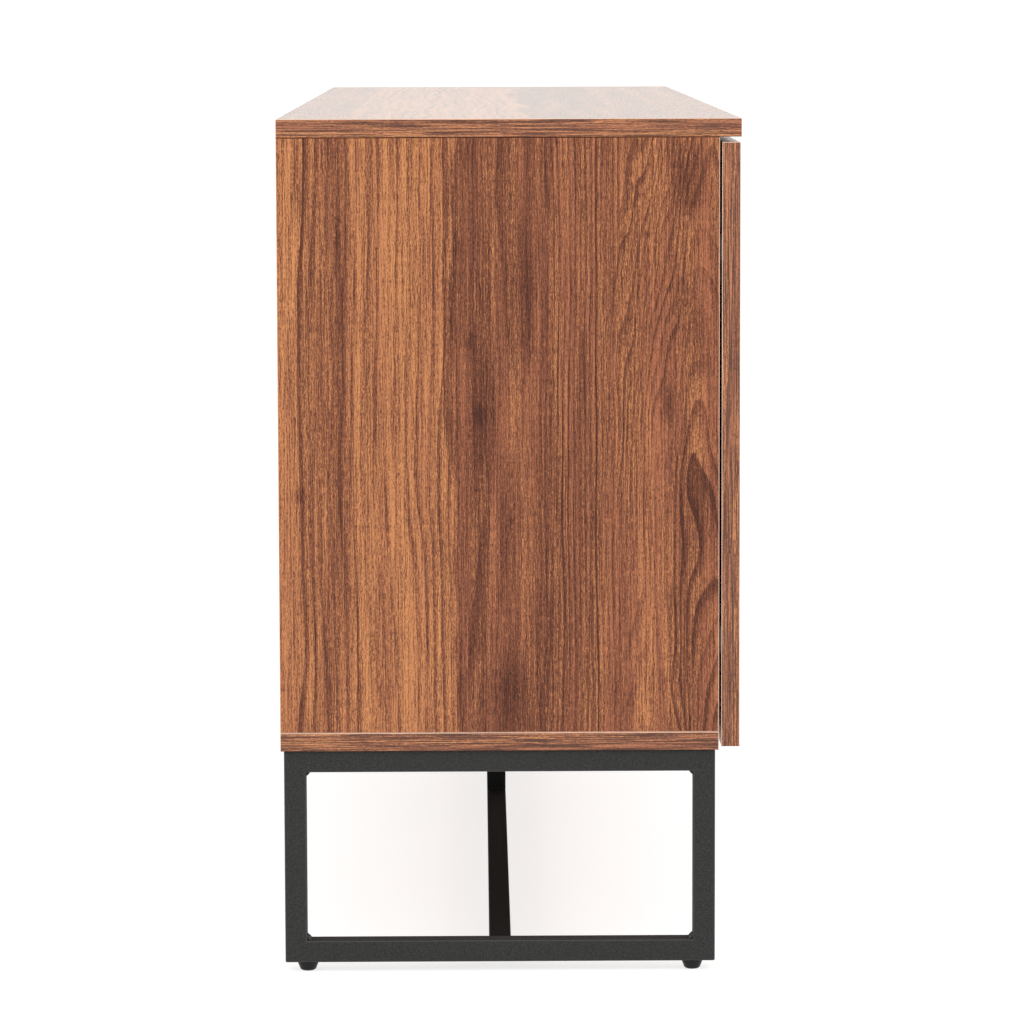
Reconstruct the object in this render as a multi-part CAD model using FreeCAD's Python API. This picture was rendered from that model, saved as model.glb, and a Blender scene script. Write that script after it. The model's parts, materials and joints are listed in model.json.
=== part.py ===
import FreeCAD, Part
import math
import os

from FreeCAD import Vector

os.makedirs("parts", exist_ok=True)

# Driving sizes in millimetres. X runs along the length, the doors face -Y, Z is up.
length = 1400.0
depth = 400.0
board = 16.0
side_height = 516.0
edge_radius = 0.8
end_inset = 0.5            # side panels and doors stand back from the ends of the slabs
top_overhang = 1.0         # top slab in front of the door faces

# Doors
door_thickness = 16.0
door_back_gap = 2.0
door_side_gap = 3.0
door_top_gap = 4.5
door_bottom_gap = 3.0      # door bottom above the underside of the bottom panel
hinge_end_distance = 92.0  # hinge centre from the door's top and bottom

# Base
tube = 19.0
tube_wall = 1.5
tube_radius = 1.5
frame_height = 187.0
frame_inset = 3.0
weld_leg = 3.6
weld_width = 14.0
stretcher_end_gap = 0.5
post_plate = 60.0
post_plate_thickness = 3.0
plate_screw_edge = 9.0
frame_screw_distance = 60.0  # from the front and back of the frame
spigot_length = 32.0
spigot_clearance = 0.3
spigot_root = 0.8           # how far the spigot is let into the rail's wall
stretcher_screw_distance = 18.0
stretcher_screw_length = 12.0
weld_root = 0.5

# Levelling feet
glide_height = 8.0
glide_radius = 9.1
glide_profile = ((0.0, 0.62), (0.12, 0.76), (0.75, 0.98), (1.0, 1.0))  # height and radius, as shares
glide_end_distance = 19.5  # from the outer faces of the frame
stud_radius = 3.0
stud_top = 16.0            # above the top of the pad
nut_flats = 10.0
nut_height = 5.0

# Inside
back_thickness = 3.0
back_inset = 10.0
groove_depth = 6.0
groove_clearance = 0.2
shelf_front_gap = 24.0
shelf_back_gap = 4.0
shelf_end_gap = 1.0
shelf_pin_radius = 2.5
shelf_pin_bore = 8.0
shelf_pin_reach = 8.0
shelf_pin_pitch = 32.0
shelf_pin_rows = 5
shelf_pin_setback = 50.0

# Fasteners
fit = 0.05                 # radial clearance of fasteners in their bores
cam_radius = 7.5
cam_depth = 12.0
cam_distance = 34.0        # cam centre from the end of its board
cam_bolt_radius = 3.0
cam_bolt_screw = 10.0
dowel_radius = 4.0
dowel_in_slab = 11.0
dowel_in_side = 19.0
joint_line_outer = 49.5   # fitting lines, from the front and from the back of the carcass
joint_line_inner = 91.5
bore_end_gap = 0.5        # left open at the blind end of a bore
recess_width = 1.2        # arms of the cross-shaped driver recesses
small_recess_reach = 2.0
small_recess_depth = 1.0
cam_recess_reach = 4.5
cam_recess_depth = 2.0
socket_flats = 4.0        # hexagon sockets of the base screws
socket_depth = 2.0
access_clearance = 0.75   # around the heads, in the holes they are reached through
groove_gap = 0.5          # around the back panel in its grooves
screw_radius = 3.0
screw_head_radius = 5.0
screw_head_height = 3.2
insert_radius = 4.5
insert_length = 12.0
insert_thread = 10.0
small_screw_radius = 1.6
small_head_radius = 3.2
small_head_height = 1.6
small_screw_bite = 11.0

# Concealed hinge, in the hinge plane: u from the door's hinge edge, v out from the carcass front
cup_radius = 17.5
cup_edge = 5.0
cup_depth = 11.5
cup_wall = 0.8
flange_thickness = 1.0
flange_radius = 18.0
flange_reach = 30.0
flange_u = (25.0, 39.0)
press_dowel_radius = 4.0
press_dowel_depth = 10.0
press_dowel_u = 32.0
press_dowel_z = 24.0
arm_pivot = (32.0, -10.0)
cup_pivot = (11.5, 5.0)
link_bends = ((17.5, 9.4), (30.0, 4.0))
link_thickness = 2.0
link_width = 12.0
pivot_radius = 1.5
pivot_clearance = 0.08
eye_radius = 3.2
lug_half = 2.6
lug_thickness = 2.5
cheek_thickness = 1.5
cheek_clearance = 0.5
arm_back = -62.0
arm_height = 17.5
arm_web_back = 12.0
arm_nose = 3.5
arm_shoulder = 8.0
mount_plate_thickness = 2.0
mount_screw_v = -37.0
mount_screw_z = 16.0
mount_screw_bite = 7.0
mount_head_radius = 4.0
mount_head_height = 1.5
mount_spine_half = 10.0
mount_spine_reach = 15.0
mount_spine_inset = 4.0
mount_wing_half = 7.0
mount_wing_reach = 24.0

# Push latch
latch_width = 14.0
latch_height = 24.0
latch_length = 60.0
latch_setback = 2.0
latch_ear = 10.0
latch_ear_thickness = 3.0
latch_offset = 24.0        # latch axis from the gap between the two doors of a pair
plunger_radius = 4.0
plunger_clearance = 0.1
plunger_drop = 15.0        # plunger axis below the top slab
plunger_length = 42.0
plunger_bore = 48.0
plunger_gap = 0.3
strike_radius = 7.0
strike_thickness = 1.0

# Places worked out from the sizes above
half_length = length / 2
back_y = depth / 2
top_front_y = -depth / 2
door_front_y = top_front_y + top_overhang
door_back_y = door_front_y + door_thickness
carcass_front_y = door_back_y + door_back_gap
frame_bottom = glide_height
frame_top = frame_bottom + frame_height
bottom_top = frame_top + board
side_top = bottom_top + side_height
total_height = side_top + board
side_out_x = half_length - end_inset
side_in_x = side_out_x - board
partition_x = board / 2
door_bottom = frame_top + door_bottom_gap
door_top = side_top - door_top_gap
door_width = (2 * side_out_x - 3 * door_side_gap) / 4
hinge_heights = (door_bottom + hinge_end_distance, door_top - hinge_end_distance)
back_panel_front = back_y - back_inset - back_thickness
frame_out_x = half_length - frame_inset
frame_in_x = frame_out_x - tube
frame_front_y = carcass_front_y + frame_inset
frame_back_y = back_y - frame_inset
centre_y = (frame_front_y + frame_back_y) / 2
rail_top = frame_bottom + tube
shelf_underside = bottom_top + side_height / 2 - board / 2
cup_centre_u = cup_edge + cup_radius
latch_axis_z = side_top - plunger_drop


def box(x0, x1, y0, y1, z0, z1):
    return Part.makeBox(x1 - x0, y1 - y0, z1 - z0, Vector(x0, y0, z0))


def rod(radius, start, end):
    along = Vector(*end) - Vector(*start)
    return Part.makeCylinder(radius, along.Length, Vector(*start), along)


def eased_board(x0, x1, y0, y1, z0, z1):
    plain = box(x0, x1, y0, y1, z0, z1)
    return plain.makeFillet(edge_radius, plain.Edges)


def joined(shapes):
    whole = shapes[0].fuse(list(shapes[1:])) if len(shapes) > 1 else shapes[0]
    return whole.removeSplitter()


def cut_all(shape, tools):
    return shape.cut(list(tools)) if tools else shape


def mirrored_x(shape):
    return shape.mirror(Vector(0, 0, 0), Vector(1, 0, 0))


def save(name, shapes):
    whole = shapes[0] if len(shapes) == 1 else Part.makeCompound(list(shapes))
    whole.exportStep("parts/" + name + ".step")


def prism(points, z0, z1):
    corners = [Vector(x, y, z0) for x, y in points]
    face = Part.Face(Part.makePolygon(corners + corners[:1]))
    return face.extrude(Vector(0, 0, z1 - z0))


def hexagon(x, y, z0, z1, flats):
    reach = flats / 2 / math.cos(math.pi / 6)
    turns = [i * math.pi / 3 for i in range(6)]
    return prism([(x + reach * math.cos(turn), y + reach * math.sin(turn)) for turn in turns], z0, z1)


def cross_recess(face, axis, out, reach, depth):
    """Driver recess let into a head: face is the middle of its outer face, which looks along out * axis."""
    arms = []
    for long_way in (way for way in range(3) if way != axis):
        spans = []
        for way in range(3):
            half = reach if way == long_way else recess_width / 2
            middle = face[way]
            ends = (middle, middle - out * depth) if way == axis else (middle - half, middle + half)
            spans += sorted(ends)
        arms.append(box(*spans))
    return joined(arms)


# Where the upright boards meet the slabs, each with its inner face for the cams
def upright_joints():
    uprights = (
        (-side_out_x + board / 2, 1),
        (0.0, 1),
        (side_out_x - board / 2, -1),
    )
    for x, inward in uprights:
        for z, up in ((bottom_top, 1), (side_top, -1)):
            yield x, inward, z, up


def cam_lines():
    for x, inward, z, up in upright_joints():
        for y in (carcass_front_y + joint_line_outer, back_y - joint_line_inner):
            yield x, inward, y, z, up


def cam_lock(x, inward, y, z, up, radius):
    face = x + inward * board / 2
    centre = z + up * cam_distance
    return rod(radius, (face, y, centre), (face - inward * cam_depth, y, centre))


def slotted_cam(x, inward, y, z, up):
    face = (x + inward * board / 2, y, z + up * cam_distance)
    return cam_lock(x, inward, y, z, up, cam_radius).cut(
        cross_recess(face, 0, inward, cam_recess_reach, cam_recess_depth))


def cam_bolt(x, y, z, up, radius):
    return rod(radius, (x, y, z - up * cam_bolt_screw), (x, y, z + up * cam_distance))


def dowel(x, y, z, up, radius):
    return rod(radius, (x, y, z - up * dowel_in_slab), (x, y, z + up * dowel_in_side))


def cam_locks(radius):
    return [cam_lock(x, inward, y, z, up, radius) for x, inward, y, z, up in cam_lines()]


def cam_bolts(radius):
    return [cam_bolt(x, y, z, up, radius) for x, inward, y, z, up in cam_lines()]


def dowels(radius):
    lines = (carcass_front_y + joint_line_inner, back_y - joint_line_outer)
    return [dowel(x, y, z, up, radius) for x, inward, z, up in upright_joints() for y in lines]


def back_screws(shank, head):
    shapes = []
    face = back_panel_front + back_thickness
    for z in (bottom_top + side_height * 0.25, bottom_top + side_height * 0.75):
        bite = rod(shank, (0, face - back_thickness - small_screw_bite, z), (0, face, z))
        top = (0, face + small_head_height, z)
        recess = cross_recess(top, 1, 1, small_recess_reach, small_recess_depth)
        cap = rod(head, (0, face, z), top).cut(recess)
        shapes.append(joined([bite, cap]))
    return shapes


# Shelf pins stand in the uprights on both sides of each bay
def shelf_pin_columns():
    for side in (-1, 1):
        for face, into in ((side * side_in_x, side), (side * partition_x, -side)):
            for y in (carcass_front_y + shelf_pin_setback, back_panel_front - shelf_pin_setback):
                yield face, into, y


def shelf_pin_z(row):
    return shelf_underside - shelf_pin_radius + row * shelf_pin_pitch


def shelf_pins():
    z = shelf_pin_z(0)
    depth = shelf_pin_bore - bore_end_gap
    return [rod(shelf_pin_radius, (face + into * depth, y, z), (face - into * shelf_pin_reach, y, z))
            for face, into, y in shelf_pin_columns()]


def shelf_pin_bores(radius):
    half = shelf_pin_rows // 2
    return [rod(radius, (face, y, shelf_pin_z(row)), (face + into * shelf_pin_bore, y, shelf_pin_z(row)))
            for face, into, y in shelf_pin_columns() for row in range(-half, half + 1)]


# Hinge shapes lie in local axes: X is u, -Y is v, Z is zero at the hinge centre
def local_rod(radius, u, v, z0, z1):
    return rod(radius, (u, -v, z0), (u, -v, z1))


def local_box(u0, u1, v0, v1, z0, z1):
    return box(u0, u1, -v1, -v0, z0, z1)


def cup_drum(radius, v0, v1):
    return rod(radius, (cup_centre_u, -v0, 0), (cup_centre_u, -v1, 0))


def press_dowels(radius, extra):
    start, end = -door_back_gap, -door_back_gap - press_dowel_depth - extra
    return [rod(radius, (press_dowel_u, start, z), (press_dowel_u, end, z))
            for z in (-press_dowel_z, press_dowel_z)]


def hinge_cup():
    rim = door_back_gap - flange_thickness
    bottom = door_back_gap + cup_depth
    lug_in = link_width / 2 + cheek_clearance
    lug_out = lug_in + lug_thickness
    u, v = cup_pivot
    shell = [cup_drum(cup_radius, door_back_gap, bottom), cup_drum(flange_radius, rim, door_back_gap)]
    shell.append(local_box(flange_u[0], flange_u[1], rim, door_back_gap, -flange_reach, flange_reach))
    solid = joined(shell + press_dowels(press_dowel_radius, 0.0))
    hollow = solid.cut(cup_drum(cup_radius - cup_wall, 0.0, bottom - cup_wall))
    lugs = [local_box(u - lug_half, u + lug_half, v - lug_half, bottom - cup_wall / 2, z0, z1)
            for z0, z1 in ((lug_in, lug_out), (-lug_out, -lug_in))]
    return joined([hollow] + lugs + [local_rod(pivot_radius, u, v, -lug_out, lug_out)])


def cup_bores():
    bottom = door_back_gap + cup_depth
    return [cup_drum(cup_radius + fit, 0.0, bottom)] + press_dowels(press_dowel_radius + fit, bore_end_gap)


def strap(start, end, z0, z1):
    along = Vector(end[0] - start[0], -(end[1] - start[1]), 0)
    along.normalize()
    across = Vector(-along.y, along.x, 0) * (link_thickness / 2)
    first = Vector(start[0], -start[1], 0)
    last = Vector(end[0], -end[1], 0)
    corners = (first + across, last + across, last - across, first - across)
    return prism([(p.x, p.y) for p in corners], z0, z1)


def hinge_link():
    z0, z1 = -link_width / 2, link_width / 2
    points = (cup_pivot,) + link_bends + (arm_pivot,)
    body = [strap(points[i], points[i + 1], z0, z1) for i in range(len(points) - 1)]
    body += [local_rod(link_thickness / 2, u, v, z0, z1) for u, v in link_bends]
    body += [local_rod(eye_radius, u, v, z0, z1) for u, v in (cup_pivot, arm_pivot)]
    holes = [local_rod(pivot_radius + pivot_clearance, u, v, z0, z1) for u, v in (cup_pivot, arm_pivot)]
    return cut_all(joined(body), holes)


def hinge_arm(panel_u):
    base = panel_u + mount_plate_thickness
    top = base + arm_height
    u, v = arm_pivot
    nose = (u + arm_nose, v + arm_nose)
    shoulder = v - arm_shoulder
    profile = [(base, arm_back), (base, shoulder - arm_shoulder), (u - arm_shoulder, v - arm_nose / 2)]
    profile += [(u - arm_nose, nose[1]), nose, (nose[0], shoulder)]
    profile += [(top, shoulder - arm_web_back), (top, arm_back)]
    flat = [(a, -b) for a, b in profile]
    inner = link_width / 2 + cheek_clearance
    outer = inner + cheek_thickness
    web = local_box(top - cheek_thickness, top, arm_back, shoulder - arm_web_back, -outer, outer)
    cheeks = [prism(flat, inner, outer), prism(flat, -outer, -inner)]
    return joined(cheeks + [web, local_rod(pivot_radius, u, v, -outer, outer)])


def mount_screws(panel_u, radius):
    top = panel_u + mount_plate_thickness
    y = -mount_screw_v
    return [rod(radius, (panel_u - mount_screw_bite, y, z), (top, y, z))
            for z in (-mount_screw_z, mount_screw_z)]


def headed_mount_screws(panel_u):
    top = panel_u + mount_plate_thickness
    y = -mount_screw_v
    heads = []
    for z in (-mount_screw_z, mount_screw_z):
        face = (top + mount_head_height, y, z)
        recess = cross_recess(face, 0, 1, small_recess_reach, small_recess_depth)
        heads.append(rod(mount_head_radius, (top, y, z), face).cut(recess))
    return [joined([shank, head]) for shank, head in zip(mount_screws(panel_u, screw_radius), heads)]


def mount_plate(panel_u):
    top = panel_u + mount_plate_thickness
    front, back = mount_screw_v + mount_spine_reach, arm_back + mount_spine_inset
    spine = local_box(panel_u, top, back, front, -mount_spine_half, mount_spine_half)
    wings = local_box(panel_u, top, mount_screw_v - mount_wing_half, mount_screw_v + mount_wing_half,
                      -mount_wing_reach, mount_wing_reach)
    return joined([spine, wings]).cut(mount_screws(panel_u, screw_radius + fit))


# Each door: number, x of its hinge edge, direction of u, inner face of its upright measured in u
def door_table():
    lap = partition_x - door_side_gap / 2
    edge = door_side_gap / 2
    return (
        (1, -side_out_x, 1, board),
        (2, -edge, -1, lap),
        (3, edge, 1, lap),
        (4, side_out_x, -1, board),
    )


def at_hinges(shape, edge_x, direction):
    turned = shape if direction > 0 else mirrored_x(shape)
    return [turned.translated(Vector(edge_x, carcass_front_y, z)) for z in hinge_heights]


def at_all_hinges(maker, cranked):
    shapes = []
    for number, edge_x, direction, panel_u in door_table():
        if cranked is None or cranked == (panel_u < board):
            made = maker(panel_u)
            for shape in made if isinstance(made, list) else [made]:
                shapes += at_hinges(shape, edge_x, direction)
    return shapes


def latch_x(number):
    middle = -half_length / 2 if number < 3 else half_length / 2
    return middle + (-latch_offset if number in (1, 3) else latch_offset)


def door_panel(edge_x, direction):
    far_x = edge_x + direction * door_width
    low_x, high_x = sorted((edge_x, far_x))
    panel = eased_board(low_x, high_x, door_front_y, door_back_y, door_bottom, door_top)
    bores = []
    for bore in cup_bores():
        bores += at_hinges(bore, edge_x, direction)
    return panel.cut(bores)


def strike(number):
    x = latch_x(number)
    inner_y = door_back_y + strike_thickness
    return rod(strike_radius, (x, door_back_y, latch_axis_z), (x, inner_y, latch_axis_z))


def plunger(number, radius, length_in):
    x = latch_x(number)
    tip = door_back_y + strike_thickness + plunger_gap
    return rod(radius, (x, tip, latch_axis_z), (x, tip + length_in, latch_axis_z))


def latch_screw_places(number):
    x = latch_x(number)
    front = carcass_front_y + latch_setback
    return [(x + side * (latch_width / 2 + latch_ear / 2), front + latch_length / 2) for side in (-1, 1)]


def latch_housing(number):
    x = latch_x(number)
    front = carcass_front_y + latch_setback
    half = latch_width / 2
    case = box(x - half, x + half, front, front + latch_length, side_top - latch_height, side_top)
    wide, middle, under = half + latch_ear, front + latch_length / 2, side_top - latch_ear_thickness
    ear = box(x - wide, x + wide, middle - latch_ear * 0.6, middle + latch_ear * 0.6, under, side_top)
    holes = [rod(small_screw_radius + fit, (sx, sy, under), (sx, sy, side_top))
             for sx, sy in latch_screw_places(number)]
    bore = plunger(number, plunger_radius + plunger_clearance, plunger_bore)
    return joined([case, ear]).cut(holes + [bore])


def hanging_head(x, y, under):
    face = (x, y, under - small_head_height)
    recess = cross_recess(face, 2, -1, small_recess_reach, small_recess_depth)
    return rod(small_head_radius, face, (x, y, under)).cut(recess)


def latch_screws(shank):
    shapes = []
    for number in (1, 2, 3, 4):
        for x, y in latch_screw_places(number):
            under = side_top - latch_ear_thickness
            bite = rod(shank, (x, y, under), (x, y, side_top + small_screw_bite))
            shapes.append(joined([hanging_head(x, y, under), bite]))
    return shapes


# Base
def frame_screw_places():
    for side in (-1, 1):
        for y in (frame_front_y + frame_screw_distance, centre_y, frame_back_y - frame_screw_distance):
            yield side * (frame_out_x - tube / 2), y


def inserts(radius, length_up):
    top = frame_top + length_up
    return [rod(radius, (x, y, frame_top), (x, y, top)) for x, y in frame_screw_places()]


def socket_head(x, y, under):
    low = under - screw_head_height
    return rod(screw_head_radius, (x, y, low), (x, y, under)).cut(
        hexagon(x, y, low, low + socket_depth, socket_flats))


# The heads sit inside the tube, under its upper wall
def frame_screws():
    shapes = []
    under = frame_top - tube_wall
    for x, y in frame_screw_places():
        shank = rod(screw_radius, (x, y, under), (x, y, frame_top + insert_thread))
        shapes.append(joined([socket_head(x, y, under), shank]))
    return shapes


def frame_screw_holes(side):
    holes = []
    low = frame_top - tube
    for x, y in frame_screw_places():
        if x * side > 0:
            holes.append(rod(screw_radius + fit, (x, y, frame_top - tube_wall), (x, y, frame_top)))
            holes.append(rod(screw_head_radius + access_clearance, (x, y, low), (x, y, low + tube_wall)))
    return holes


def plate_screw_places():
    reach = post_plate / 2 - plate_screw_edge
    return [(sx * reach, centre_y + sy * reach) for sx in (-1, 1) for sy in (-1, 1)]


def plate_screws(shank):
    shapes = []
    under = frame_top - post_plate_thickness
    for x, y in plate_screw_places():
        bite = rod(shank, (x, y, under), (x, y, frame_top + small_screw_bite))
        shapes.append(joined([hanging_head(x, y, under), bite]))
    return shapes


def weld_fillets(x0):
    middle = x0 + tube / 2
    shapes = []
    for y, sy in ((frame_front_y + tube, 1), (frame_back_y - tube, -1)):
        for z, sz in ((rail_top, 1), (frame_top - tube, -1)):
            corners = [Vector(middle - weld_width / 2, y - sy * weld_root, z - sz * weld_root),
                       Vector(middle - weld_width / 2, y + sy * weld_leg, z - sz * weld_root),
                       Vector(middle - weld_width / 2, y + sy * weld_leg, z),
                       Vector(middle - weld_width / 2, y, z + sz * weld_leg),
                       Vector(middle - weld_width / 2, y - sy * weld_root, z + sz * weld_leg)]
            face = Part.Face(Part.makePolygon(corners + corners[:1]))
            shapes.append(face.extrude(Vector(weld_width, 0, 0)))
    return shapes


def spigot(side):
    half = tube / 2 - tube_wall - spigot_clearance
    inner, outer = frame_in_x - spigot_length, frame_in_x + spigot_root
    x0, x1 = (inner, outer) if side > 0 else (-outer, -inner)
    middle = frame_bottom + tube / 2
    return box(x0, x1, centre_y - half, centre_y + half, middle - half, middle + half)


def glide_places():
    for side in (-1, 1):
        for y in (frame_front_y + glide_end_distance, frame_back_y - glide_end_distance):
            yield side * (frame_out_x - tube / 2), y


def stud_hole(x, y):
    return rod(stud_radius + pivot_clearance, (x, y, frame_bottom), (x, y, frame_bottom + tube_wall))


def end_frame(side):
    x0 = frame_in_x if side > 0 else -frame_out_x
    x1 = x0 + tube
    outer = box(x0, x1, frame_front_y, frame_back_y, frame_bottom, frame_top)
    outer = outer.makeFillet(tube_radius, outer.Edges)
    window = box(x0, x1, frame_front_y + tube, frame_back_y - tube, rail_top, frame_top - tube)
    hollow = box(x0 + tube_wall, x1 - tube_wall, frame_front_y + tube_wall, frame_back_y - tube_wall,
                 frame_bottom + tube_wall, frame_top - tube_wall)
    core = box(x0, x1, frame_front_y + tube - tube_wall, frame_back_y - tube + tube_wall,
               rail_top - tube_wall, frame_top - tube + tube_wall)
    ring = outer.cut(window)
    inner_edges = [e for e in ring.Edges if on_window(e, x0, x1)]
    ring = ring.makeFillet(tube_radius, inner_edges).cut(hollow.cut(core))
    holes = frame_screw_holes(side)
    holes += [stud_hole(x, y) for x, y in glide_places() if x * side > 0]
    thread = stretcher_screw(side, screw_radius + fit)
    return joined([ring] + weld_fillets(x0) + [spigot(side).cut(thread)]).cut(holes)


def on_window(edge, x0, x1):
    low, high = edge.BoundBox, edge.BoundBox
    flat = abs(low.XMax - high.XMin) < 1e-6 and min(abs(low.XMin - x0), abs(low.XMin - x1)) < 1e-6
    in_y = low.YMin > frame_front_y + tube - 1e-6 and high.YMax < frame_back_y - tube + 1e-6
    in_z = low.ZMin > rail_top - 1e-6 and high.ZMax < frame_top - tube + 1e-6
    return flat and in_y and in_z


def stretcher_screw(side, radius):
    x = side * (frame_in_x - stretcher_screw_distance)
    return rod(radius, (x, centre_y, frame_bottom), (x, centre_y, frame_bottom + stretcher_screw_length))


def stretcher_screws():
    shapes = []
    for side in (-1, 1):
        x = side * (frame_in_x - stretcher_screw_distance)
        shapes.append(joined([socket_head(x, centre_y, frame_bottom), stretcher_screw(side, screw_radius)]))
    return shapes


def square_tube(axis, x0, x1, y0, y1, z0, z1):
    outer = box(x0, x1, y0, y1, z0, z1)
    along = [e for e in outer.Edges if abs(getattr(e.BoundBox, axis + "Length") - e.Length) < 1e-6]
    outer = outer.makeFillet(tube_radius, along)
    wall = {"X": (0, tube_wall, tube_wall), "Z": (tube_wall, tube_wall, 0)}[axis]
    inner = box(x0 + wall[0], x1 - wall[0], y0 + wall[1], y1 - wall[1], z0 + wall[2], z1 - wall[2])
    return outer.cut(inner)


def stretcher():
    reach = frame_in_x - stretcher_end_gap
    half = tube / 2
    bar = square_tube("X", -reach, reach, centre_y - half, centre_y + half, frame_bottom, rail_top)
    holes = [stretcher_screw(side, screw_radius + fit) for side in (-1, 1)]
    return bar.cut(holes + [stud_hole(0, centre_y)])


def centre_post():
    half = tube / 2
    under = frame_top - post_plate_thickness
    post = square_tube("Z", -half, half, centre_y - half, centre_y + half, rail_top, under)
    reach = post_plate / 2
    plate = box(-reach, reach, centre_y - reach, centre_y + reach, under, frame_top)
    radius = small_screw_radius + fit
    holes = [rod(radius, (x, y, under), (x, y, frame_top)) for x, y in plate_screw_places()]
    return [post, plate.cut(holes)]


# Levelling feet
def foot_pad(x, y):
    layers = []
    for (z0, r0), (z1, r1) in zip(glide_profile, glide_profile[1:]):
        low, high = z0 * glide_height, z1 * glide_height
        if r0 == r1:
            layers.append(rod(r0 * glide_radius, (x, y, low), (x, y, high)))
        else:
            wide, narrow = r1 * glide_radius, r0 * glide_radius
            layers.append(Part.makeCone(narrow, wide, high - low, Vector(x, y, low)))
    return joined(layers).cut(rod(stud_radius + fit, (x, y, glide_height / 2), (x, y, glide_height)))


def foot_stud(x, y):
    return rod(stud_radius, (x, y, glide_height / 2), (x, y, glide_height + stud_top))


def foot_nut(x, y):
    z0 = frame_bottom + tube_wall
    hole = rod(stud_radius + pivot_clearance, (x, y, z0), (x, y, z0 + nut_height))
    return hexagon(x, y, z0, z0 + nut_height, nut_flats).cut(hole)


def foot_places():
    names = ("left_front", "left_back", "right_front", "right_back")
    return list(zip(names, glide_places())) + [("centre", (0.0, centre_y))]


# Boards
def back_groove():
    slack = groove_clearance
    reach = side_in_x + groove_depth
    back = back_panel_front + back_thickness
    return box(-reach, reach, back_panel_front - slack, back + slack,
               bottom_top - groove_depth, side_top + groove_depth)


def top_panel(bores):
    slab = eased_board(-half_length, half_length, top_front_y, back_y, side_top, total_height)
    return slab.cut(bores + [back_groove()] + latch_screws(small_screw_radius + fit))


def bottom_panel(bores):
    slab = eased_board(-half_length, half_length, carcass_front_y, back_y, frame_top, bottom_top)
    holes = inserts(insert_radius + fit, insert_length + bore_end_gap)
    holes += plate_screws(small_screw_radius + fit)
    return slab.cut(bores + [back_groove()] + holes)


def upright_bores():
    bores = cam_bolts(cam_bolt_radius + fit) + cam_locks(cam_radius + fit) + dowels(dowel_radius + fit)
    bores += at_all_hinges(lambda u: mount_screws(u, screw_radius + fit), None)
    return bores + shelf_pin_bores(shelf_pin_radius + fit)


def side_panel(side, bores):
    x0, x1 = (side_in_x, side_out_x) if side > 0 else (-side_out_x, -side_in_x)
    panel = eased_board(x0, x1, carcass_front_y, back_y, bottom_top, side_top)
    near = [bore for bore in bores if bore.BoundBox.XMax > x0 and bore.BoundBox.XMin < x1]
    return panel.cut(near + [back_groove()])


def partition(bores):
    panel = box(-partition_x, partition_x, carcass_front_y, back_panel_front, bottom_top, side_top)
    near = [bore for bore in bores
            if bore.BoundBox.XMax > -partition_x and bore.BoundBox.XMin < partition_x]
    return panel.cut(near + back_screws(small_screw_radius + fit, small_head_radius))


def back_panel():
    reach = side_in_x + groove_depth - groove_gap
    low, high = bottom_top - groove_depth + groove_gap, side_top + groove_depth - groove_gap
    panel = box(-reach, reach, back_panel_front, back_panel_front + back_thickness, low, high)
    return panel.cut(back_screws(small_screw_radius + fit, small_head_radius))


def shelf(side):
    inner, outer = partition_x + shelf_end_gap, side_in_x - shelf_end_gap
    x0, x1 = (inner, outer) if side > 0 else (-outer, -inner)
    return eased_board(x0, x1, carcass_front_y + shelf_front_gap, back_panel_front - shelf_back_gap,
                       shelf_underside, shelf_underside + board)


# Write every piece
slab_bores = cam_bolts(cam_bolt_radius + fit) + dowels(dowel_radius + fit)
uprights = upright_bores()
save("top_panel", [top_panel(slab_bores)])
save("bottom_panel", [bottom_panel(slab_bores)])
save("left_side_panel", [side_panel(-1, uprights)])
save("right_side_panel", [side_panel(1, uprights)])
save("centre_partition", [partition(uprights)])
save("back_panel", [back_panel()])
save("left_shelf", [shelf(-1)])
save("right_shelf", [shelf(1)])
save("shelf_pins", shelf_pins())
save("cam_locks", [slotted_cam(*line).cut(cam_bolts(cam_bolt_radius + fit)) for line in cam_lines()])
save("cam_bolts", cam_bolts(cam_bolt_radius))
save("dowels", dowels(dowel_radius))
save("back_screws", back_screws(small_screw_radius, small_head_radius))

save("left_end_frame", [end_frame(-1)])
save("right_end_frame", [end_frame(1)])
save("stretcher", [stretcher()])
save("centre_post", centre_post())
save("frame_screws", frame_screws())
save("frame_inserts", [sleeve.cut(frame_screws()) for sleeve in inserts(insert_radius, insert_length)])
save("plate_screws", plate_screws(small_screw_radius))
save("stretcher_screws", stretcher_screws())
save("foot_nuts", [foot_nut(x, y) for name, (x, y) in foot_places()])
for name, (x, y) in foot_places():
    save("foot_pad_" + name, [foot_pad(x, y)])
    save("foot_stud_" + name, [foot_stud(x, y)])

save("straight_hinge_arms", at_all_hinges(hinge_arm, False))
save("cranked_hinge_arms", at_all_hinges(hinge_arm, True))
save("hinge_mount_plates", at_all_hinges(mount_plate, None))
save("hinge_mount_screws", at_all_hinges(headed_mount_screws, None))
save("latch_housings", [latch_housing(number) for number in (1, 2, 3, 4)])
save("latch_screws", latch_screws(small_screw_radius))
for number, edge_x, direction, panel_u in door_table():
    save("door_%d" % number, [door_panel(edge_x, direction)])
    save("hinge_cups_%d" % number, at_hinges(hinge_cup(), edge_x, direction))
    save("hinge_links_%d" % number, at_hinges(hinge_link(), edge_x, direction))
    save("strike_%d" % number, [strike(number)])
    save("plunger_%d" % number, [plunger(number, plunger_radius, plunger_length)])
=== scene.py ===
import json
import math
from collections import namedtuple

import bpy
import numpy as np
from mathutils import Matrix, Vector

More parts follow.
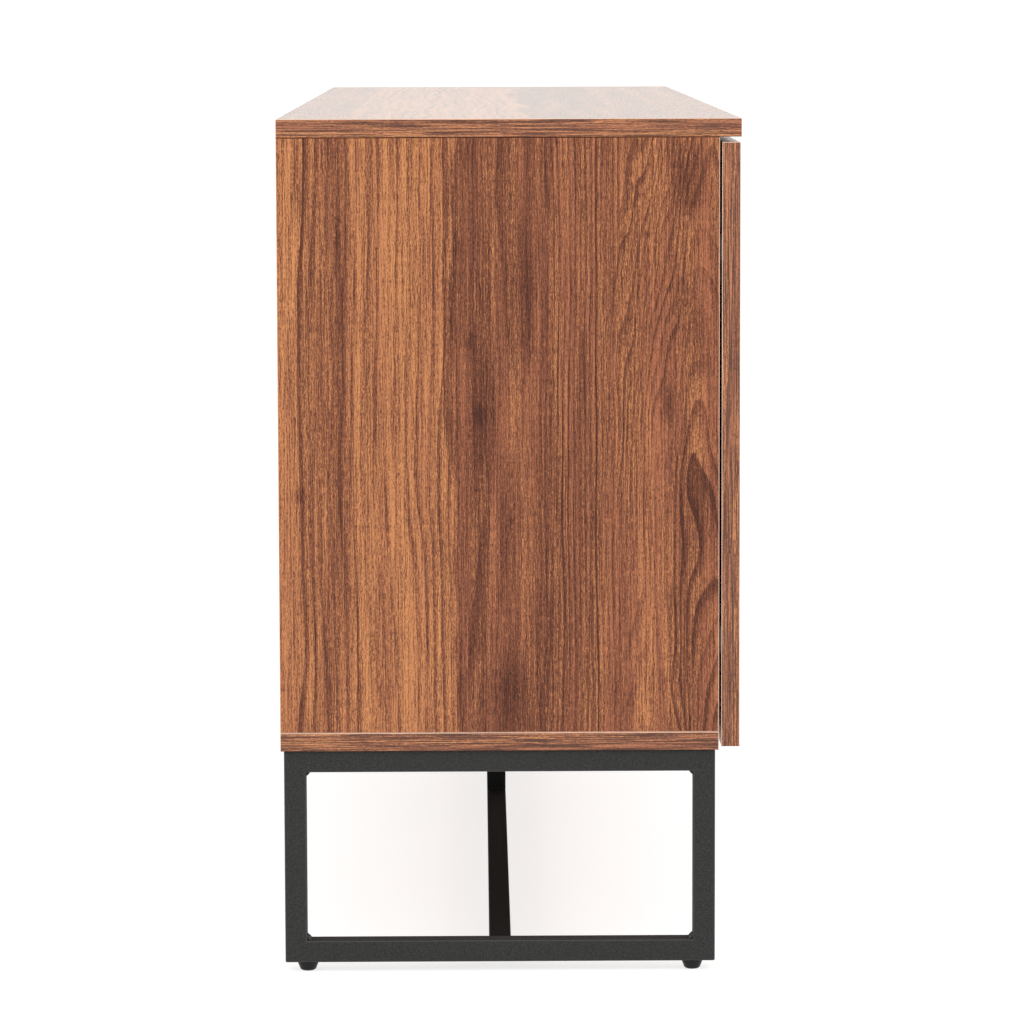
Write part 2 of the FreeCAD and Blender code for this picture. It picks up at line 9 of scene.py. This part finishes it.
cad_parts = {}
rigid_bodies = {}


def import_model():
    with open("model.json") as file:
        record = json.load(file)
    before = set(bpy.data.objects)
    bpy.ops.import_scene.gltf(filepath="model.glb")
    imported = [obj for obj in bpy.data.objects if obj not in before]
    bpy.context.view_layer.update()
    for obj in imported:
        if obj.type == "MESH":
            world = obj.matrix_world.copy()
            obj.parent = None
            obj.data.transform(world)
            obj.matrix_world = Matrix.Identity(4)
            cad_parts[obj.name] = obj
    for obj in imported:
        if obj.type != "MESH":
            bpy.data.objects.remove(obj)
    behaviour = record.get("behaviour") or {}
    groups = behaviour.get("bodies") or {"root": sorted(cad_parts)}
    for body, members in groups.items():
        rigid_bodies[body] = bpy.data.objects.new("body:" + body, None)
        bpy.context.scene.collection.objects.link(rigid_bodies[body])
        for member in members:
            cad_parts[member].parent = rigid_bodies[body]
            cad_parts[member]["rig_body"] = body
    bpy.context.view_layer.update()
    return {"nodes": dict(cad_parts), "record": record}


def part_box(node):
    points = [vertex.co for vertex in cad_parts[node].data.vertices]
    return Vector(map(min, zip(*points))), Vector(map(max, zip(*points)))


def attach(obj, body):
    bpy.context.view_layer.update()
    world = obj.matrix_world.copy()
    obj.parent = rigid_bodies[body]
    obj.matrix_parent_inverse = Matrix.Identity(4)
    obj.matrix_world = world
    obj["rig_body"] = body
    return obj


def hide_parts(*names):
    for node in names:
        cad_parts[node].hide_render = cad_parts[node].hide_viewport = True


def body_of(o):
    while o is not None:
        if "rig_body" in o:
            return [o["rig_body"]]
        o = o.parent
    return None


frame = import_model()
nodes = frame["nodes"]

# Sizes below are in metres and degrees. The doors face -Y, the photographed end faces -X.
end_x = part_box("left_side_panel")[0].x

# Camera at the photograph's viewing angle, with part of the tilt taken up by the lens shift
camera_distance = 3.468
camera_y = 0.0269
camera_z = 0.838
camera_pitch = 5.251
camera_yaw = 0.480
camera_roll = -0.163
camera_lens = 142.19
camera_shift = -0.13
camera_reach = 500.0

# Studio: floor, sky, and lamps with their place and power
floor_half = 300.0
floor_drop = 0.0003  # just below the pads, whose tops reach the floor when the feet are screwed out
floor_tone = 0.4
floor_glow = 0.72
floor_roughness = 0.9
sky_strength = 1.2
sky_tint = (1.0, 0.985, 0.955, 1)
lamps = {"key": ((-3.0, -3.0, 3.2), 40.0), "fill": ((-2.5, 3.5, 2.4), 20.0)}
lamp_size = 3.0
lamp_aim = (0.0, 0.0, 0.4)

# Walnut print: colours from the palest streak to the darkest ring, and the pale of the painted highlight on
# the eased edges, which also hazes the edge bands
walnut_gold = (0.555, 0.232, 0.088, 1)
walnut_red = (0.41, 0.145, 0.071, 1)
walnut_brown = (0.194, 0.0635, 0.0310, 1)
walnut_dark = (0.054, 0.0135, 0.0065, 1)
walnut_haze_and_highlight = (0.84, 0.59, 0.46, 1)
walnut_roughness = 0.22
walnut_specular = 0.15
lacquer_weight = 0.2
lacquer_index = 1.3
lacquer_roughness = 0.08

# Darkness of the print at which brown and dark begin and are full, and what is taken off it all over
brown_limits = (-0.2, 0.5)
dark_limits = (0.45, 1.2)
print_lift = 0.06

# Fibres of the print: how many per metre along and across the grain, step from the board's seed, detail
dash_fibres = (150.0, 1700.0, 0.0, 1.0)
line_fibres = (9.0, 820.0, 2.0, 2.0)
streak_fibres = (1.5, 52.0, 9.0, 2.0)
red_fibres = (2.5, 60.0, 20.0, 2.0)
pore_fibres = (26.0, 1350.0, 30.0, 1.0)
wavy_fibres = (45.0, 160.0, 40.0, 1.0)
speck_fibres = (420.0, 1500.0, 50.0, 1.0)
band_fibres = (14.0, 1000.0, 0.0, 2.0)
fibre_roughness = 0.55

# How strongly the fibres darken the print, and where in their noise some of them begin and are full
dash_strength = 1.7
line_strength = 1.9
streak_strength = 1.1
speck_strength = 1.5
pore_strength = 0.46
pore_limits = (0.55, 0.68)
red_limits = (0.38, 0.62)
band_strength = 1.1
band_limits = (0.40, 0.64)
band_haze = 0.045
wave_width = 0.0028
dash_roughness = 0.12
pore_roughness = 0.08
fibre_bump = 0.3
fibre_depth = 0.0002

# Planks of the print, from the back edge of the photographed side to its front edge. Each has its front
# edge and the half width of the blend there, rings per metre across the grain, arches per metre along it,
# the sharpness and the middle of those arches, how far the grain wanders, darkness and ring contrast.
Plank = namedtuple("Plank", "edge blend rings arches sharp middle wander dark contrast")
planks = (
    Plank(0.048, 0.0030, 105.0, 0.0, 0.0, 0.0, 0.034, 0.17, 0.62),
    Plank(-0.031, 0.0100, 46.0, 1.5, 60.0, 0.010, 0.100, 0.56, 0.46),
    Plank(-0.092, 0.0140, 200.0, 0.0, 0.0, 0.0, 0.020, 0.38, 0.80),
    Plank(-0.200, 0.0100, 0.0, 15.0, -56.0, -0.200, 0.120, 0.36, 0.66),
)
print_width = 0.400
print_start = 5.5 * print_width  # the half sets the print's middle at zero, the five keep places positive
plank_seed = 40.0  # seed per metre of a plank's edge
golden_share = 0.7  # how much of the red the first plank lacks

# How the planks' edges sway: noise per metre along the grain, its roughness and the width of the sway
sway_count = 2.8
sway_roughness = 0.6
sway_width = 0.11

# How the grain wanders: noise per metre along and across, its roughness, and its shares in the arches
push_count = (3.2, 15.0)
push_roughness = 0.45
push_across = 0.5
push_along = 6.0

# Rings: where in a ring's width it begins to darken and is darkest, and which rings are strong
ring_rise = (0.35, 0.93)
ring_end = 1.0
strong_count = (0.61, 1.4)
strong_limits = (0.34, 0.70)
weak_ring = 0.15

# Faces and edges of the boards, told by their normals
face_limit = 0.7
eased_limits = (0.86, 0.985)
end_squeeze = 0.2  # of the way across the board, on the ends of upright boards
# Painted shade on eased edges in a seam: this share of the darkest tone
seam_shade_share = 0.85  # of the darkest tone, on eased edges in a seam

# Darker marks in the photographed side: place across and along, half sizes, strength
marks = (
    (0.0255, 0.487, 0.006, 0.012, 0.40),
    (0.034, 0.550, 0.005, 0.011, 0.30),
    (0.182, 0.419, 0.007, 0.009, 0.30),
    (-0.001, 0.243, 0.020, 0.045, 0.32),
    (-0.0144, 0.582, 0.007, 0.085, 0.32),
    (0.028, 0.490, 0.009, 0.090, 0.20),
    (-0.157, 0.689, 0.016, 0.034, 0.35),
    (-0.165, 0.558, 0.008, 0.038, 0.35),
    (-0.135, 0.498, 0.010, 0.020, 0.30),
    (-0.165, 0.402, 0.016, 0.040, 0.25),
    (0.160, 0.500, 0.024, 0.500, 0.34),
)
mark_limits = (0.2, 1.3)

# Powder coat: specks and peel per metre, the painted highlight on its rounded edges, and its sheen
coat_speck = 1100.0
coat_peel = 1600.0
coat_tone_limits = (0.3, 0.75)
# Painted highlight on the rounded edges: where the edge mask begins and is full, and how far it lightens
coat_edge_limits = (0.8, 0.98)
coat_edge_highlight_share = 0.5
coat_roughness = 0.75
coat_specular = 0.06
coat_bump = 0.3
coat_depth = 0.0003

# Plain finishes
grain_detail = 3.0
grain_roughness = 0.6
grain_limits = (0.3, 0.7)
grain_bump = 0.4

# Screw thread of the feet: points round a turn, and rings of points per pitch
thread_pitch = 0.001
thread_depth = 0.0006
thread_corners = 32
thread_rows = 8

# Weld beads in the corners of the square tube: length, half width, height, ripple length, the ripples'
# share of the height and how far they curve back, points round the section, rings of points per ripple,
# and how far the middle of the section stands from the corner
tube_size = 0.019
bead_length = 0.0150
bead_width = 0.0030
bead_height = 0.0008
bead_ripple = 0.0016
ripple_share = 0.25
ripple_curve = 0.5
bead_corners = 20
bead_rows = 8
bead_end = 0.05  # the end rings' share of the closing round, so that they keep some width
bead_inset = 0.0016
post_bead_inset = 0.0008


class Value:
    """A shader socket that adds, multiplies and divides like a number."""

    def __init__(self, tree, socket):
        self.tree = tree
        self.socket = socket

    def node(self, kind, settings, inputs, output=0):
        """Adds a node of this type with these settings and linked or constant inputs; returns its output."""
        made = self.tree.nodes.new(kind)
        for name, setting in settings.items():
            setattr(made, name, setting)
        for key, source in inputs.items():
            socket = made.inputs[key]
            if isinstance(source, Value):
                self.tree.links.new(source.socket, socket)
            else:
                socket.default_value = source
        return Value(self.tree, made.outputs[output])

    def maths(self, operation, *others):
        """A Math node of this value and the others."""
        return self.node("ShaderNodeMath", {"operation": operation}, dict(enumerate((self,) + others)))

    def __add__(self, other):
        return self.maths("ADD", other)

    def __sub__(self, other):
        return self.maths("SUBTRACT", other)

    def __mul__(self, other):
        return self.maths("MULTIPLY", other)

    def __truediv__(self, other):
        return self.maths("DIVIDE", other)

    def __neg__(self):
        return self.maths("MULTIPLY", -1.0)

    def __radd__(self, other):
        return self + other

    def __rmul__(self, other):
        return self * other

    def __rsub__(self, other):
        return (-self) + other

    def ramp(self, low, high, kind="LINEAR"):
        """Ramp from 0 at low to 1 at high, straight unless another kind is named."""
        limits = {"Value": self, "From Min": low, "From Max": high, "To Min": 0.0, "To Max": 1.0}
        return self.node("ShaderNodeMapRange", {"interpolation_type": kind}, limits)

    def step(self, low, high):
        """Smooth step from 0 at low to 1 at high."""
        return self.ramp(low, high, "SMOOTHSTEP")

    def mix(self, first, second):
        """Colour first where this value is 0 and second where it is 1."""
        return self.node("ShaderNodeMix", {"data_type": "RGBA"}, {0: self, 6: first, 7: second}, 2)

    def xyz(self):
        """The three parts of a vector."""
        split = self.node("ShaderNodeSeparateXYZ", {}, {0: self})
        return [Value(self.tree, output) for output in split.socket.node.outputs]


def vector(x, y, z):
    """A vector of three parts, of which the first is a Value."""
    return x.node("ShaderNodeCombineXYZ", {}, {0: x, 1: y, 2: z})


def noise(place, scale, detail, roughness):
    """Noise around a half, so many lumps per unit of place."""
    inputs = {"Vector": place, "Scale": scale, "Detail": detail, "Roughness": roughness}
    return place.node("ShaderNodeTexNoise", {}, inputs)


def new_material(name):
    """An empty node material: returns it, its shader node and the object coordinates."""
    material = bpy.data.materials.new(name)
    material.use_nodes = True
    tree = material.node_tree
    shader = tree.nodes["Principled BSDF"]
    return material, shader, Value(tree, None).node("ShaderNodeTexCoord", {}, {}, "Object")


def facing(place):
    """The parts of the surface normal along x, y and z, on the object's own axes."""
    return place.node("ShaderNodeTexCoord", {}, {}, "Normal").xyz()


def flatness(sizes):
    """The largest of the three parts' sizes: 1 on a face along an axis, less on a rounded edge."""
    return sizes[0].maths("MAXIMUM", sizes[1]).maths("MAXIMUM", sizes[2])


def feed(shader, **sockets):
    """Links values to named shader sockets; plain numbers are set."""
    for name, source in sockets.items():
        socket = shader.inputs[name.replace("_", " ")]
        if isinstance(source, Value):
            source.tree.links.new(source.socket, socket)
        else:
            socket.default_value = source


def bump(height, strength, distance):
    """A normal bent by a height."""
    inputs = {"Strength": strength, "Distance": distance, "Height": height}
    return height.node("ShaderNodeBump", {}, inputs)


def grey_tone(tone):
    """A grey as a colour."""
    return (tone, tone, tone, 1)


def finish(name, dark, pale, grain, roughness, spread, metallic=0.0, specular=0.5, relief=0.0):
    """A finish of two close tones in a fine grain, so many grains per metre.

    The roughness varies with the grain by spread, and relief is the height of the grain, if it has any.
    """
    material, shader, place = new_material(name)
    speckle = noise(place, grain, grain_detail, grain_roughness)
    colour = speckle.step(*grain_limits).mix((*dark, 1), (*pale, 1))
    feed(shader, Base_Color=colour, Roughness=speckle * spread + (roughness - spread / 2))
    feed(shader, Metallic=metallic, Specular_IOR_Level=specular)
    if relief:
        feed(shader, Normal=bump(speckle, grain_bump, relief))
    return material


def board_axes(place, upright):
    """Places along and across the grain of a board, chosen by the way each face looks.

    Upright boards have the grain along Z; lying boards along X, with the end faces banded along Y.
    Returns along, across, the masks of the faces that look along x, y and z, the mask of the eased edges
    and the upward part of the normal.
    """
    normal = facing(place)
    sizes = [part.maths("ABSOLUTE") for part in normal]
    mx, my, mz = [size.maths("GREATER_THAN", face_limit) for size in sizes]
    x, y, z = place.xyz()
    if upright:
        along = (mx + my) * z + mz * y
        across = (mx + mz * end_squeeze) * y + my * x
    else:
        along = (mz + my) * x + mx * y
        across = mz * y + (mx + my) * z
    eased = 1.0 - flatness(sizes).step(*eased_limits)
    return along, across, (mx, my, mz), eased, normal[2]


def plank_figure(along, across, plank, seed):
    """Darkness of one plank: rings that darken slowly and end sharply, some stronger than others.

    The rings are lines of equal distance across the board, plus parabolas stacked along the grain, all
    pushed about by a slow noise: the first give straight grain and the second the arches of a flat cut.
    """
    slow = vector(along * push_count[0], across * push_count[1], seed)
    push = (noise(slow, 1.0, detail=2.0, roughness=push_roughness) - 0.5) * plank.wander
    side = across + push * push_across - plank.middle
    arch = along + push * push_along - side * side * plank.sharp
    phase = (across + push) * plank.rings + arch * plank.arches
    turn = phase.maths("FRACT")
    ring = turn.step(*ring_rise) * (1.0 - turn.step(ring_rise[1], ring_end))
    ring_place = vector(phase * strong_count[0], along * strong_count[1], seed)
    strong = noise(ring_place, 1.0, detail=1.0, roughness=0.5).step(*strong_limits)
    strong = strong * (1.0 - weak_ring) + weak_ring
    return ring * strong * plank.contrast + plank.dark


def plank_front(place, plank):
    """1 behind a plank's front edge and 0 in front of it, with a blend between."""
    return place.step(plank.edge - plank.blend, plank.edge + plank.blend)


def fibre(along, across, fibres, seed):
    """Noise drawn out along the grain, with so many fibres per metre along and across."""
    count_along, count_across, seed_step, detail = fibres
    place = vector(along * count_along, across * count_across, seed + seed_step)
    return noise(place, 1.0, detail, fibre_roughness)


def mark(along, across, centre, middle, wide, tall, strength):
    """A soft dark spot: falls off smoothly over its half sizes."""
    side = (across - centre) / wide
    up = (along - middle) / tall
    away = (side * side + up * up).maths("SQRT")
    return (1.0 - away.step(*mark_limits)) * strength


def walnut(name, upright, shift, seed, faces, highlight_looks, band_shade, spots):
    """Walnut-print laminate: four planks side by side, fine fibres, short pores, and eased edges with painted
    highlight on some and painted seam shade on others.

    faces is the axis of the broad faces, which carry the planks; the other faces are banded with
    straight grain, darkened by band_shade. shift moves the print across the board. Eased edges get a painted
    highlight where the upward part of their normal lies between the two given looks, and painted shade, as
    in a seam, elsewhere.
    """
    material, shader, place = new_material(name)
    along, across, masks, eased, upward = board_axes(place, upright)
    broad = masks[faces]

    spot = (across + (shift + print_start)).maths("FLOORED_MODULO", print_width) - print_width / 2
    sway = noise(vector(along * sway_count, seed, 0.0), 1.0, detail=2.0, roughness=sway_roughness) - 0.5
    swayed = spot + sway * sway_width
    figure = plank_figure(along, spot, planks[0], seed)
    for last, plank in zip(planks, planks[1:]):
        front = 1.0 - plank_front(swayed, last)
        own = plank_figure(along, spot, plank, seed + plank.edge * plank_seed)
        figure = figure * (1.0 - front) + own * front
    for item in spots:
        figure = figure + mark(along, across, *item)
    band = fibre(along, across, band_fibres, seed).step(*band_limits) * band_strength + band_shade
    figure = figure * broad + band * (1.0 - broad)

    wavy = across + (fibre(along, across, wavy_fibres, seed) - 0.5) * wave_width
    dash = fibre(along, wavy, dash_fibres, seed) - 0.5
    line = fibre(along, wavy, line_fibres, seed) - 0.5
    pore = fibre(along, wavy, pore_fibres, seed).step(*pore_limits)
    speck = fibre(along, across, speck_fibres, seed) - 0.5
    streak = fibre(along, across, streak_fibres, seed) - 0.5
    amount = figure + dash * dash_strength + line * line_strength + streak * streak_strength
    amount = amount + speck * speck_strength + pore * pore_strength - print_lift

    golden = plank_front(swayed, planks[0]) * golden_share
    warm = fibre(along, across, red_fibres, seed).step(*red_limits) * (1.0 - golden)
    colour = amount.ramp(*brown_limits).mix(warm.mix(walnut_gold, walnut_red), walnut_brown)
    colour = amount.ramp(*dark_limits).mix(colour, walnut_dark)
    colour = ((1.0 - broad) * band_haze).mix(colour, walnut_haze_and_highlight)
    # Painted highlight: eased edges that look within the given range are lightened to the pale tone
    highlit = upward.maths("GREATER_THAN", highlight_looks[0]) * upward.maths("LESS_THAN", highlight_looks[1])
    colour = (eased * highlit).mix(colour, walnut_haze_and_highlight)
    # Painted shade: the other eased edges, as in a seam, are darkened towards the darkest tone
    colour = (eased * (1.0 - highlit) * seam_shade_share).mix(colour, walnut_dark)
    rough = dash * dash_roughness + pore * pore_roughness + walnut_roughness
    relief = bump(-(dash + speck), fibre_bump, fibre_depth)
    feed(shader, Base_Color=colour, Roughness=rough, Normal=relief)
    feed(shader, Specular_IOR_Level=walnut_specular)
    feed(shader, Coat_Weight=lacquer_weight, Coat_IOR=lacquer_index, Coat_Roughness=lacquer_roughness)
    return material


def powder_coat(name, dark, pale, edge_highlight):
    """Matt black powder coat: a fine bump, a speckle of two greys and a painted highlight that makes the
    rounded edges slightly paler.
    """
    material, shader, place = new_material(name)
    sizes = [part.maths("ABSOLUTE") for part in facing(place)]
    edge = 1.0 - flatness(sizes).step(*coat_edge_limits)
    peel = noise(place, coat_peel, detail=2.0, roughness=0.6)
    speck = noise(place, coat_speck, detail=1.0, roughness=0.5)
    colour = speck.step(*coat_tone_limits).mix(grey_tone(dark), grey_tone(pale))
    # Painted highlight: rounded edges lightened towards the edge tone
    colour = (edge * coat_edge_highlight_share).mix(colour, grey_tone(edge_highlight))
    relief = bump(peel, coat_bump, coat_depth)
    feed(shader, Base_Color=colour, Roughness=coat_roughness, Specular_IOR_Level=coat_specular, Normal=relief)
    return material


black = powder_coat("powder_coat", dark=0.026, pale=0.046, edge_highlight=0.104)
# The same black coat made darker as painted shade, for the stretcher and centre post in the shade under the
# cabinet
painted_shade_black = powder_coat("powder_coat_inside", dark=0.004, pale=0.008, edge_highlight=0.012)
dark_nickel = finish(
    "dark_nickel", (0.10, 0.10, 0.105), (0.14, 0.14, 0.145),
    grain=900.0, roughness=0.36, spread=0.1, metallic=1.0)
zinc = finish(
    "zinc", (0.44, 0.44, 0.45), (0.56, 0.56, 0.57),
    grain=500.0, roughness=0.4, spread=0.16, metallic=1.0)
by_slot = {
    "black_powder_coat": black,
    "zinc_alloy": zinc,
    "nickel_steel": finish(
        "nickel", (0.38, 0.37, 0.35), (0.46, 0.45, 0.43),
        grain=700.0, roughness=0.32, spread=0.14, metallic=1.0),
    "brass_insert": finish(
        "brass", (0.54, 0.37, 0.13), (0.64, 0.46, 0.19),
        grain=600.0, roughness=0.35, spread=0.14, metallic=1.0),
    "beech_dowel": finish(
        "beech", (0.47, 0.29, 0.15), (0.60, 0.41, 0.24),
        grain=500.0, roughness=0.6, spread=0.2, specular=0.3, relief=0.0002),
    "back_board": finish(
        "hardboard", (0.16, 0.062, 0.031), (0.24, 0.105, 0.056),
        grain=420.0, roughness=0.6, spread=0.2, specular=0.3, relief=0.0003),
    "grey_plastic": finish(
        "grey_plastic", (0.32, 0.32, 0.32), (0.37, 0.37, 0.37),
        grain=900.0, roughness=0.42, spread=0.1, specular=0.4, relief=0.0001),
    "black_plastic": finish(
        "plastic", (0.005, 0.005, 0.005), (0.009, 0.009, 0.009),
        grain=900.0, roughness=0.4, spread=0.1, specular=0.2, relief=0.0001),
}

# Eased edges get a painted highlight where they look up or sideways and painted seam shade where they look
# down, but the sides' upper edges, in the seam under the top, get the shade
slab_looks = (-0.1, 2.0)
side_looks = (-2.0, 0.2)
# Each board's upright grain, print shift, seed, axis of its broad faces, looks of its painted edge highlight
# and shade of its bands
boards = {
    "top_panel": (False, 0.06, 4.0, 2, slab_looks, 0.05),
    "bottom_panel": (False, 0.18, 6.0, 2, slab_looks, 0.20),
    "left_shelf": (False, 0.27, 8.0, 2, slab_looks, 0.0),
    "right_shelf": (False, 0.11, 8.5, 2, slab_looks, 0.0),
    "left_side_panel": (True, 0.0, 1.0, 0, side_looks, 0.0),
    "right_side_panel": (True, 0.13, 2.0, 0, side_looks, 0.0),
    "centre_partition": (True, 0.3, 3.0, 0, side_looks, 0.0),
    "door_1": (True, 0.05, 11.0, 1, slab_looks, 0.14),
    "door_2": (True, 0.26, 12.0, 1, slab_looks, 0.14),
    "door_3": (True, 0.17, 13.0, 1, slab_looks, 0.14),
    "door_4": (True, 0.34, 14.0, 1, slab_looks, 0.14),
}
# Base pieces that take the black coat with painted shade
painted_shade_nodes = ("stretcher", "centre_post")
hinge_nodes = ("straight_hinge_arms", "cranked_hinge_arms", "hinge_mount_plates", "hinge_cups", "hinge_links")


def dress_solids():
    """Gives every solid its finish: boards by name, the base pieces in the coat with painted shade, the
    hinges, the rest by slot.
    """
    for part in frame["record"]["subparts"]:
        name = part["node"]
        if name in boards:
            spots = marks if name == "left_side_panel" else ()
            material = walnut(name + "_print", *boards[name], spots)
        elif name in painted_shade_nodes:
            material = painted_shade_black
        elif name.startswith(hinge_nodes):
            material = dark_nickel
        else:
            material = by_slot[part["material_slot"]]
        nodes[name].data.materials.clear()
        nodes[name].data.materials.append(material)


def closed_skin(name, rings, material, body):
    """A smooth piece skinned over rings of points, an array by ring, corner and xyz.

    The corners run counterclockwise round the direction of the rings. The skin is quads between
    neighbouring rings and a fan to the middle of each end ring.
    """
    count, corners, _ = rings.shape
    place = np.arange(count * corners).reshape(count, corners)
    beside = np.roll(place, -1, axis=1)
    quads = np.stack((place[:-1], beside[:-1], beside[1:], place[1:]), axis=-1).reshape(-1, 4)
    first = np.full(corners, count * corners)
    start_fan = np.stack((beside[0], place[0], first), axis=-1)
    end_fan = np.stack((place[-1], beside[-1], first + 1), axis=-1)
    points = np.concatenate((rings.reshape(-1, 3), rings[:1].mean(axis=1), rings[-1:].mean(axis=1)))
    mesh = bpy.data.meshes.new(name)
    mesh.from_pydata(points.tolist(), [], quads.tolist() + start_fan.tolist() + end_fan.tolist())
    mesh.shade_smooth()
    mesh.materials.append(material)
    piece = bpy.data.objects.new(name, mesh)
    bpy.context.scene.collection.objects.link(piece)
    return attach(piece, body)


def full_turn(corners):
    """Angles of so many points round a circle, as one row."""
    return np.linspace(0.0, 2 * np.pi, corners, endpoint=False)[None, :]


def threaded_stud(foot):
    """A foot's stud with its screw thread, in place of the plain rod.

    The radius is the rod's, less the thread depth times a triangle wave of height over pitch minus the
    turn round the axis, and the thread fades into the core at both ends.
    """
    low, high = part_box("foot_stud_" + foot)
    radius = (high.x - low.x) / 2
    turn = full_turn(thread_corners)
    rows = int((high.z - low.z) / thread_pitch * thread_rows)
    height = np.linspace(low.z, high.z, rows)[:, None]
    phase = (height - low.z) / thread_pitch - turn / (2 * np.pi)
    wave = np.abs(2 * (phase - np.floor(phase)) - 1)
    fade = np.clip(np.minimum(height - low.z, high.z - height) / thread_pitch, 0.0, 1.0)
    reach = radius - thread_depth * (1 - fade * (1 - wave))
    x = (low.x + high.x) / 2 + reach * np.cos(turn)
    y = (low.y + high.y) / 2 + reach * np.sin(turn)
    rings = np.stack((x, y, np.broadcast_to(height, x.shape)), axis=-1)
    body = body_of(nodes["foot_stud_" + foot])[0]
    stud = closed_skin("threaded_stud_" + foot, rings, zinc, body)
    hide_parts("foot_stud_" + foot)


def weld_bead(name, start, run, out, material):
    """A weld bead in an inner corner, from start along the vector run, facing out.

    Its section is an ellipse, wide across the corner and low along out. The height swells and sinks with
    the stacked ripples of the weld, which curve back towards its sides, and both ends close in a round.
    """
    start, run, out = (np.array(v, float) for v in (start, run, out))
    length = np.linalg.norm(run)
    ahead = run / length
    out = out / np.linalg.norm(out)
    side = np.cross(out, ahead)
    turn = full_turn(bead_corners)
    path = np.linspace(0.0, length, int(length / bead_ripple * bead_rows))[:, None]
    ripple = np.abs(np.sin(np.pi * (path / bead_ripple - ripple_curve * np.cos(turn) ** 2)))
    end = np.clip(np.minimum(path, length - path) / bead_height, bead_end, 1.0)
    swell = np.sqrt(1 - (1 - end) ** 2)
    wide = bead_width * swell * np.cos(turn)
    tall = bead_height * swell * (1 - ripple_share + ripple_share * ripple) * np.sin(turn)
    rings = start + path[..., None] * ahead + wide[..., None] * side + tall[..., None] * out
    closed_skin(name, rings, material, body_of(nodes["stretcher"])[0])


def frame_welds():
    """Beads in the window corners of both end frames and on both sides of the centre post's foot."""
    for side in ("left", "right"):
        low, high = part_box(side + "_end_frame")
        outer_x = low.x if side == "left" else high.x - tube_size
        start_x = outer_x + tube_size / 2 - bead_length / 2
        for column, (y, way_y) in enumerate(((low.y + tube_size, 1), (high.y - tube_size, -1))):
            for level, (z, way_z) in enumerate(((low.z + tube_size, 1), (high.z - tube_size, -1))):
                start = (start_x, y + way_y * bead_inset, z + way_z * bead_inset)
                name = "weld_bead_%s_%d" % (side, 2 * column + level + 1)
                weld_bead(name, start, (bead_length, 0, 0), (0, way_y, way_z), black)
    post_low, post_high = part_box("centre_post")
    start_y = (post_low.y + post_high.y) / 2 - bead_length / 2
    foot_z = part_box("stretcher")[1].z
    for number, way in ((1, -1), (2, 1)):
        start = (way * (tube_size / 2 + post_bead_inset), start_y, foot_z + post_bead_inset)
        # The post's beads take the same painted shade as the post
        weld_bead("weld_bead_post_%d" % number, start, (0, bead_length, 0), (way, 0, 1), painted_shade_black)


def studio():
    """A pale floor, an even sky and two soft area lights."""
    mesh = bpy.data.meshes.new("floor")
    corners = ((-1, -1), (1, -1), (1, 1), (-1, 1))
    mesh.from_pydata([(x * floor_half, y * floor_half, -floor_drop) for x, y in corners], [], [(0, 1, 2, 3)])
    floor = bpy.data.objects.new("floor", mesh)
    bpy.context.scene.collection.objects.link(floor)
    material, shader, _ = new_material("floor_paper")
    feed(shader, Base_Color=grey_tone(floor_tone), Roughness=floor_roughness, Specular_IOR_Level=0.0)
    feed(shader, Emission_Color=(1, 1, 1, 1), Emission_Strength=floor_glow)
    mesh.materials.append(material)
    world = bpy.data.worlds.new("studio")
    world.use_nodes = True
    sky = world.node_tree.nodes["Background"]
    sky.inputs["Color"].default_value = sky_tint
    sky.inputs["Strength"].default_value = sky_strength
    bpy.context.scene.world = world
    for name, (place, power) in lamps.items():
        light = bpy.data.lights.new(name, "AREA")
        light.energy = power
        light.size = lamp_size
        lamp = bpy.data.objects.new(name, light)
        lamp.location = place
        lamp.rotation_euler = (Vector(lamp_aim) - Vector(place)).to_track_quat("-Z", "Y").to_euler()
        bpy.context.scene.collection.objects.link(lamp)


def camera():
    """Camera in front of the -X end, pitched down and yawed towards the doors."""
    data = bpy.data.cameras.new("camera")
    data.lens = camera_lens
    data.shift_y = camera_shift
    data.dof.use_dof = False
    data.clip_end = camera_reach
    eye = bpy.data.objects.new("camera", data)
    pitch, yaw, roll = (math.radians(angle) for angle in (camera_pitch, camera_yaw, camera_roll))
    aim = Vector((math.cos(pitch) * math.cos(yaw), -math.cos(pitch) * math.sin(yaw), -math.sin(pitch)))
    turn = aim.to_track_quat("-Z", "Y").to_matrix() @ Matrix.Rotation(roll, 3, "Z")
    eye.matrix_world = Matrix.Translation((end_x - camera_distance, camera_y, camera_z)) @ turn.to_4x4()
    bpy.context.scene.collection.objects.link(eye)
    bpy.context.scene.camera = eye


dress_solids()
for foot in ("left_front", "left_back", "right_front", "right_back", "centre"):
    threaded_stud(foot)
frame_welds()
studio()
camera()
bpy.context.scene.view_settings.view_transform = "Standard"
